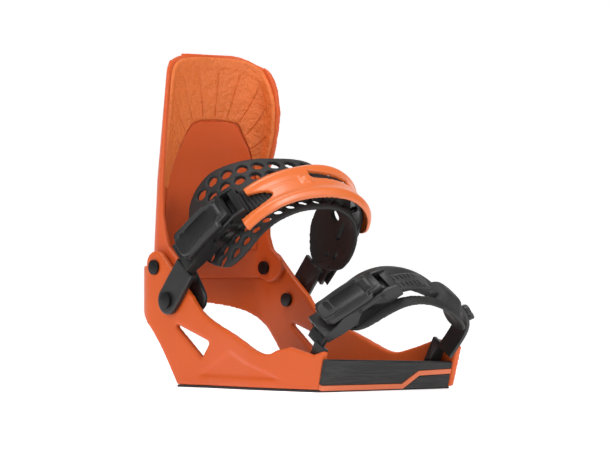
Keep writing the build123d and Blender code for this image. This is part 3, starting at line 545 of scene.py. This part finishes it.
ANKLE_RUN = [(-55.5, 38.0), (-48.5, 57.25), (-41.5, 76.5)]
ANKLE_ARCH = [
    (-24.0, 96.0), (6.0, 107.0), (36.0, 107.5), (56.0, 95.0), (63.0, 74.0), (62.5, 50.0), (60.6, 26.0),
]
ANKLE_TONGUE = [(-47.6, 16.5), (-50.0, 25.0), *ANKLE_RUN, (-24.0, 96.0), (4.0, 107.0), (16.0, 108.5)]
ANKLE_PLANE = ((-76.0, 60.0), 50.0, 8.0)
ANKLE_LENGTH = 223.0
ankle_loop = Loop(*ANKLE_PLANE, ANKLE_RUN + ANKLE_ARCH)
ankle_rack = Loop(*ANKLE_PLANE, ANKLE_TONGUE)
TOE_RUN = [(-47.0, 28.0), (-32.0, 42.75), (-17.0, 57.5)]
TOE_ARCH = [(-3.0, 64.5), (13.0, 66.0), (30.0, 62.0), (47.0, 53.0), (57.0, 41.0), (56.5, 29.0), (53.0, 16.0)]
TOE_PLANE = ((68.0, 16.0), 60.0, 10.0)
TOE_LENGTH = 152.0
toe_loop = Loop(*TOE_PLANE, TOE_RUN + TOE_ARCH)
toe_rack = Loop(*TOE_PLANE, [(-52.0, 14.0), *TOE_RUN, (-3.0, 64.5), (14.0, 66.5)])


# ---------------------------------------------------------------- ankle pad
# Moulded foam rubber, cut right through by rows of round and oval holes.  It is widest where
# it wraps the ankle, narrow over the instep, and its far end is a lobe that cups inwards.
pad_foam = Finish("pad_foam", (0.010, 0.010, 0.0105), 0.62, Specular_IOR_Level=0.4)
pores = pad_foam.noise(700.0, 4.0)
pad_foam.tint(pad_foam.noise(45.0, 3.0), (0.019, 0.0175, 0.0165))
pad_foam.set("Roughness", 0.5 + 0.25 * pores)
pad_foam.bump(pores, 0.0002)


def holes(keep_at, spots):
    """Cells that stay when oval holes (share, width, half length, half width) are cut."""
    (share, width), length = keep_at
    kept = np.ones(np.broadcast_shapes(share.shape, width.shape), bool)
    for at, across, long, wide in spots:
        kept &= ((share - at) * length / long) ** 2 + ((width - across) / wide) ** 2 > 1
    return kept


PAD_SHARES = [0.00, 0.10, 0.17, 0.28, 0.42, 0.55, 0.66, 0.75, 0.82, 0.88, 0.95]
PAD_REAR = [-36.0, -47.0, -49.0, -44.0, -39.5, -37.0, -33.0, -29.0, -27.0, -22.0, -12.0]
PAD_FRONT = [20.0, 32.0, 31.0, 25.0, 18.5, 17.0, 20.0, 28.0, 31.0, 28.0, 12.0]


def smooth_table(x, xs, ys):
    """Rows of a table joined by a smooth curve: linear steps averaged over a short stretch."""
    reach = np.linspace(-0.03, 0.03, 13)
    return np.mean([np.interp(x + r, xs, ys) for r in reach], axis=0)


share = np.linspace(0.0, 0.95, 300)
v = np.linspace(-1, 1, 118)[None, :]
rear = smooth_table(share, PAD_SHARES, PAD_REAR)
front = smooth_table(share, PAD_SHARES, PAD_FRONT)
ends = np.sqrt(np.clip(1 - np.clip((0.075 - share) / 0.075, 0, 1) ** 2, 0.02, 1))
ends = ends * np.sqrt(np.clip(1 - np.clip((share - 0.85) / 0.09, 0, 1) ** 2, 0.02, 1))
middle = ((rear + front) / 2)[:, None]
half = ((front - rear) / 2 * ends)[:, None]
width = middle + half * v
lobe = np.clip((share - 0.66) / 0.2, 0, 1)[:, None]
cup = -1.5 * lobe**2 * (3 - 2 * lobe) - 3.0 * lobe * v**2
drop = cup - 3.5 * (1 - np.clip(share / 0.1, 0, 1)[:, None]) - 1.2 * v**2
crown = np.sqrt(np.clip(1 - v**8, 0.12, 1))
pillow = 8.2 * np.exp(-((share[:, None] - 0.54) / 0.11) ** 6 - ((width + 2.0) / 9.0) ** 6)
outer_level = -7.6 + 1.4 * crown + drop + pillow
inner_level = -8.4 - 1.8 * crown * (1 - 0.35 * lobe) + drop
cell_share = (share[:-1, None] + share[1:, None]) / 2
cell_width = (width[:-1, :-1] + width[1:, 1:]) / 2
spots = []
for k in range(9):
    at = 0.115 + 0.058 * k
    spots.append((at, np.interp(at, PAD_SHARES, PAD_REAR) + 9.5, 4.8, 4.1))
for k in range(6):
    at = 0.144 + 0.058 * k
    spots.append((at, np.interp(at, PAD_SHARES, PAD_REAR) + 20.0, 4.5, 3.8))
for k in range(11):
    at = 0.06 + 0.052 * k
    spots.append((at, np.interp(at, PAD_SHARES, PAD_FRONT) - 7.0, 4.3, 2.7))
for k in range(8):
    at = 0.034 + 0.052 * k
    spots.append((at, np.interp(at, PAD_SHARES, PAD_FRONT) - 14.5, 3.6, 2.5))
spots += [(0.76, -8.0, 3.4, 5.5), (0.78, 6.0, 9.0, 2.4)]
spots += [(0.86, 14.0, 3.4, 1.4), (0.885, 5.0, 2.6, 1.3), (0.90, 16.0, 2.4, 1.2)]
kept = holes(((cell_share, cell_width), ANKLE_LENGTH), spots)
ankle_cushion = slab("ankle_cushion", ankle_loop.sheet(share, outer_level, width),
                     ankle_loop.sheet(share, inner_level, width), kept)
reskin(ankle_cushion, 0.8 * MM, 4)
mount(ankle_cushion, pad_foam, "ankle_strap", "pad_black", "ankle_pad")


# ---------------------------------------------------------------- ankle frame
# A springy orange frame lies on the pad and spreads the pull.  Its near end is a fork that
# the ladder runs through, and a long slot opens it over the instep.
FRAME = (0.70, 0.150, 0.030)
frame_nylon = Finish("frame_nylon", FRAME, 0.3, Specular_IOR_Level=0.5, Coat_Weight=0.25, Coat_Roughness=0.25)
frame_nylon.tint(frame_nylon.noise(40.0, 3.0) * 0.5, darker(FRAME, 0.85))
frame_nylon.set("Roughness", 0.28 + 0.16 * frame_nylon.noise(260.0, 2.0))
frame_nylon.bump(frame_nylon.noise(2000.0, 2.0), 0.00004)
FRAME_SHARES = [0.18, 0.28, 0.35, 0.41, 0.48, 0.55, 0.70, 0.78]
FRAME_REAR = [-3.0, -7.5, -10.5, -13.0, -16.0, -17.5, -16.0, -11.0]
FRAME_FRONT = [29.0, 24.5, 21.5, 19.5, 18.5, 18.5, 18.0, 15.0]
share = np.linspace(0.20, 0.78, 250)
v = np.linspace(-1, 1, 76)[None, :]
rear = smooth_table(share, FRAME_SHARES, FRAME_REAR)[:, None]
front = smooth_table(share, FRAME_SHARES, FRAME_FRONT)[:, None]
tip = np.sqrt(np.clip(1 - np.clip((share - 0.735) / 0.045, 0, 1) ** 2, 0.12, 1))[:, None]
width = (rear + front) / 2 + (front - rear) / 2 * tip * v
rail = np.exp(-((np.abs(v) - 0.74) / 0.2) ** 2)
boss = 1.9 * np.exp(-((share[:, None] - 0.44) * ANKLE_LENGTH / 4.0) ** 4 - ((width - 2.0) / 4.0) ** 4)
fold = np.exp(-((v + 0.05 - 0.5 * (share[:, None] - 0.5)) / 0.06) ** 2) * (share[:, None] < 0.47)
outer_level = 4.6 + boss + 1.9 * rail * tip + 0.5 * fold - 1.6 * np.abs(v) ** 6
inner_level = 1.7 + 0.9 * rail - 0.9 * np.abs(v) ** 6
cell_share = (share[:-1, None] + share[1:, None]) / 2
cell_width = (width[:-1, :-1] + width[1:, 1:]) / 2
kept = holes(((cell_share, cell_width), ANKLE_LENGTH), [(0.18, 9.0, 30.5, 9.0), (0.748, 4.0, 1.9, 1.9)])
trimmed = (cell_share < 0.25) & (cell_width < 6.0)
slot = (np.abs(cell_share - 0.535) < 0.075) & (np.abs(cell_width + 3.0 - 12 * (cell_share - 0.535)) < 3.6)
yoke = slab("ankle_yoke", ankle_loop.sheet(share, outer_level, width),
            ankle_loop.sheet(share, inner_level, width), kept & ~slot & ~trimmed)
reskin(yoke, 0.6 * MM, 6)
mount(yoke, frame_nylon, "ankle_strap", "frame_orange", "ankle_frame")


# ---------------------------------------------------------------- ankle ladder
# A ribbed nylon tongue.  Full-width bars, steep on the buckle's side, give the pawl its
# steps, and the free tail hangs inside the near wall.
strap_nylon = Finish("strap_nylon", (0.010, 0.010, 0.0105), 0.36, Specular_IOR_Level=0.42)
strap_nylon.tint(strap_nylon.noise(60.0, 3.0), (0.018, 0.018, 0.0185))
strap_nylon.set("Roughness", 0.3 + 0.2 * strap_nylon.noise(300.0, 3.0))
strap_nylon.bump(strap_nylon.noise(1800.0, 2.0), 0.00005)
share = np.linspace(0.0, 1.0, 760)
v = np.linspace(-1, 1, 25)[None, :]
bars = (share[:, None] * 46.0) % 1.0
ramped = np.where(bars < 0.72, bars / 0.72, (1 - bars) / 0.28)
toothed = (share[:, None] > 0.16) * (share[:, None] < 0.86) * np.clip((1 - np.abs(v)) / 0.08, 0, 1)
edge = 0.5 * np.abs(v) ** 10
rounded = np.sqrt(np.clip(1 - np.clip((0.03 - share) / 0.03, 0, 1) ** 2, 0.05, 1))[:, None]
width = 2.0 + 10.0 * rounded * v
rack = slab("ankle_rack", ankle_rack.sheet(share, 0.5 + 1.5 * ramped * toothed - edge, width),
            ankle_rack.sheet(share, -1.3 + edge, width))
mount(rack, strap_nylon, "ankle_strap", "strap_black", "ankle_ladder")
reach = np.linspace(-9.0, 27.0, 90)[:, None]
v = np.linspace(-1, 1, 41)[None, :]
half = 9.0 * np.sqrt(np.clip(1 - np.clip((reach - 18.0) / 9.0, 0, 1) ** 2, 0.01, 1))
half = half * (1 - 0.1 * np.clip(-reach / 9.0, 0, 1))
TAIL_TOP = np.array([-68.0, 0.0, 76.0])
TAIL_DOWN = np.array([0.568, 0.0, -0.823])
TAIL_OVER = np.array([0.823, 0.0, 0.568])
ACROSS = np.array([0.0, 1.0, 0.0])
spine = TAIL_TOP + reach[..., None] * TAIL_DOWN + (half * v)[..., None] * TAIL_OVER
rim = np.exp(-((np.abs(v) - 0.82) / 0.1) ** 2) + 0 * reach
tail_out = spine + ACROSS * (-49.0 - 0.5 * rim)[..., None]
tail_in = spine + ACROSS * (-46.6 + 0.3 * rim)[..., None]
tail = slab("ankle_tail", tail_out * MM, tail_in * MM)
reskin(tail, 0.45 * MM, 3)
mount(tail, strap_nylon, "ankle_strap", "strap_black")


# ---------------------------------------------------------------- ankle side straps
# The near arm is a stiff moulding that carries the buckle.  The far strap is ribbed across
# for grip in its clamp, and both turn on eyes outside the walls.
arm = merged_copy("ankle_arm_bar", "ankle_arm")
reskin(arm, 0.6 * MM, 7)
mount(arm, strap_nylon, "ankle_strap", "strap_black", "ankle_arm")
moulded("ankle_size_band", strap_nylon, "ankle_strap", "strap_black", ["ankle_size_strap"], 0.6)
share = np.linspace(0.72, 0.985, 300)
v = np.linspace(-1, 1, 9)[None, :]
ribs = 0.5 + 0.5 * np.cos(share[:, None] * 2 * math.pi * 88)
ribbed = ankle_loop.sheet(share, 1.25 + 0.75 * ribs * (np.abs(v) < 0.95), 2.0 + 8.2 * v)
grip = slab("ankle_size_ribs", ribbed, ankle_loop.sheet(share, 0.9 + 0 * v, 2.0 + 8.2 * v))
mount(grip, strap_nylon, "ankle_strap", "strap_black")
moulded("ankle_rivet_set", bolt_steel, "ankle_strap", "steel", ["ankle_rivets"], 0.4)


# ---------------------------------------------------------------- buckles
# Each buckle is a channel that the ladder slides through.  A long lever on a steel pin pumps
# the ladder in, and a sprung release pawl on a second pin holds it.
class Seat:
    """Frame of a buckle: x up the ladder, y across it, z away from the boot."""

    def __init__(self, loop, shift):
        start = loop.origin + loop.points[0][0] * loop.x + loop.points[0][1] * loop.y + shift * loop.z
        end = loop.origin + loop.points[2][0] * loop.x + loop.points[2][1] * loop.y + shift * loop.z
        self.origin = start
        self.x = (end - start) / np.linalg.norm(end - start)
        self.z = np.cross(loop.z, self.x)
        self.y = np.cross(self.z, self.x)

    def grid(self, x, y, z):
        x, y, z = np.broadcast_arrays(x, y, z)
        return (self.origin + x[..., None] * self.x + y[..., None] * self.y + z[..., None] * self.z) * MM


NECK_STEP = 2.95  # the lever is this much narrower each side where it turns between the rails


def buckle_lever(name, seat, half_width):
    """Lever as a sheet over its length and width: a domed back with two side rails, a sunk
    middle and a nose that turns up and narrows for the thumb."""
    x = np.linspace(-2.5, 41.0, 120)[:, None]
    v = np.linspace(-1, 1, 61)[None, :]
    nose = np.clip((5.0 - x) / 7.5, 0, 1)
    tail = np.clip((x - 35.0) / 6.0, 0, 1)
    neck = np.clip((x - 30.5) / 2.5, 0, 1)
    half = half_width * (1 - 0.28 * nose**1.5) * np.sqrt(np.clip(1 - 0.55 * nose**4, 0.2, 1))
    half = half - NECK_STEP * neck
    rails = np.exp(-((np.abs(v) - 0.80) / 0.13) ** 2)
    sunk = np.clip((x - 8.0) / 3.0, 0, 1) * np.clip((31.0 - x) / 3.0, 0, 1) * (np.abs(v) < 0.58)
    bow = 1.8 * np.sin(np.clip((x + 2.5) / 43.5, 0, 1) * math.pi)
    bar = np.exp(-((x - 35.5) / 3.0) ** 2) * (np.abs(v) < 0.9)
    top = 11.4 + bow + 1.5 * rails * (1 - nose) - 1.9 * sunk + 1.1 * bar
    top = top - 1.3 * np.abs(v) ** 8 - 1.3 * tail**2 + 0.9 * nose
    under = 9.2 + 0.9 * nose + 0.0 * v
    cover = slab(name, seat.grid(x, half * v, top), seat.grid(x, half * v, under))
    return reskin(cover, 0.5 * MM, 5)


for strap, seat, half in (("ankle", Seat(ankle_loop, 2.0), 12.8), ("toe", Seat(toe_loop, 0.0), 11.8)):
    held = f"{strap}_strap"
    lever = buckle_lever(f"{strap}_lever_cover", seat, half)
    mount(lever, hard_nylon, f"{strap}_lever", "hard_black")
    moulded(f"{strap}_lever_core", hard_nylon, f"{strap}_lever", "hard_black", [f"{strap}_lever"], 0.8)
    moulded(f"{strap}_channel", hard_nylon, held, "hard_black", [f"{strap}_buckle_base"], 0.9)
    moulded(f"{strap}_catch", hard_nylon, f"{strap}_release", "hard_black", [f"{strap}_release"], 0.6)
    moulded(f"{strap}_pins", bolt_steel, held, "steel", [f"{strap}_lever_pin", f"{strap}_pawl_pin"], 0.35)
    spring = merged_copy(f"{strap}_spring", f"{strap}_pawl_spring")
    mount(spring, bright_steel, held, "steel", f"{strap}_pawl_spring")


# ---------------------------------------------------------------- toe pad
# Moulded rubber in two bands joined at their ends, so that the toe cap of the boot shows
# through between them.
TOE_PAD_SHARES = [0.04, 0.12, 0.25, 0.40, 0.55, 0.72, 0.86]
TOE_PAD_REAR = [-22.0, -31.0, -33.0, -32.0, -30.0, -24.0, -16.0]
TOE_PAD_FRONT = [10.0, 16.0, 18.0, 18.0, 18.0, 16.0, 12.0]
share = np.linspace(0.04, 0.86, 230)
v = np.linspace(-1, 1, 84)[None, :]
rear = smooth_table(share, TOE_PAD_SHARES, TOE_PAD_REAR)
front = smooth_table(share, TOE_PAD_SHARES, TOE_PAD_FRONT)
ends = np.sqrt(np.clip(1 - np.clip((0.10 - share) / 0.06, 0, 1) ** 2, 0.06, 1))
ends = ends * np.sqrt(np.clip(1 - np.clip((share - 0.80) / 0.06, 0, 1) ** 2, 0.06, 1))
middle = ((rear + front) / 2)[:, None]
width = middle + ((front - rear) / 2 * ends)[:, None] * v
crown = np.sqrt(np.clip(1 - v**8, 0.12, 1))
swell = 0.7 * np.exp(-((width - 12.5) / 4.0) ** 2) + 3.0 * np.exp(-((width + 22.0) / 7.0) ** 2)
socket = np.exp(-((share[:, None] - 0.64) / 0.075) ** 6 - ((width - 1.0) / 12.0) ** 6)
outer_level = -6.2 + 1.3 * crown + swell * (1 - socket) + 8.6 * socket
inner_level = -7.0 - 1.4 * crown + swell
cell_share = (share[:-1, None] + share[1:, None]) / 2
cell_width = (width[:-1, :-1] + width[1:, 1:]) / 2
mid_gap = 2.0 + 5.0 * np.clip((cell_share - 0.3) / 0.4, 0, 1)
kept = holes(((cell_share, cell_width - mid_gap), TOE_LENGTH), [(0.39, 0.0, 27.0, 6.6)])
toe_cushion = slab("toe_cushion", toe_loop.sheet(share, outer_level, width),
                   toe_loop.sheet(share, inner_level, width), kept)
reskin(toe_cushion, 0.7 * MM, 4)
mount(toe_cushion, pad_foam, "toe_strap", "pad_black", "toe_pad")


# ---------------------------------------------------------------- toe ladder and size strap
# The ladder's two rows of pockets leave a smooth rib down its middle and end in a blunt
# point.  The far strap is held by a small thumb wheel.
moulded("toe_ladder_root", strap_nylon, "toe_strap", "strap_black", ["toe_ladder"], 0.5)
share = np.linspace(0.03, 1.0, 600)
v = np.linspace(-1, 1, 61)[None, :]
bars = (share[:, None] * 30.0) % 1.0
raised = np.clip((np.abs(bars - 0.5) - 0.22) / 0.06, 0, 1)
in_row = (np.abs(np.abs(v) - 0.5) < 0.33) * (share[:, None] > 0.06) * (share[:, None] < 0.93)
point = np.sqrt(np.clip(1 - np.clip((share - 0.94) / 0.06, 0, 1) ** 1.6, 0.06, 1))[:, None]
face = 2.1 - 1.1 * (1 - raised) * in_row - 0.6 * np.abs(v) ** 10
width = 9.0 * point * v
toe_bars = slab("toe_rack", toe_rack.sheet(share, face, width), toe_rack.sheet(share, 0.8 + 0 * v, width))
mount(toe_bars, strap_nylon, "toe_strap", "strap_black")
moulded("toe_size_band", strap_nylon, "toe_strap", "strap_black", ["toe_size_strap"], 0.6)
moulded("toe_rivet_set", bolt_steel, "toe_strap", "steel", ["toe_rivets"], 0.4)
moulded("toe_wheel", hard_nylon, "toe_knob", "hard_black", ["toe_knob"], 0.5)
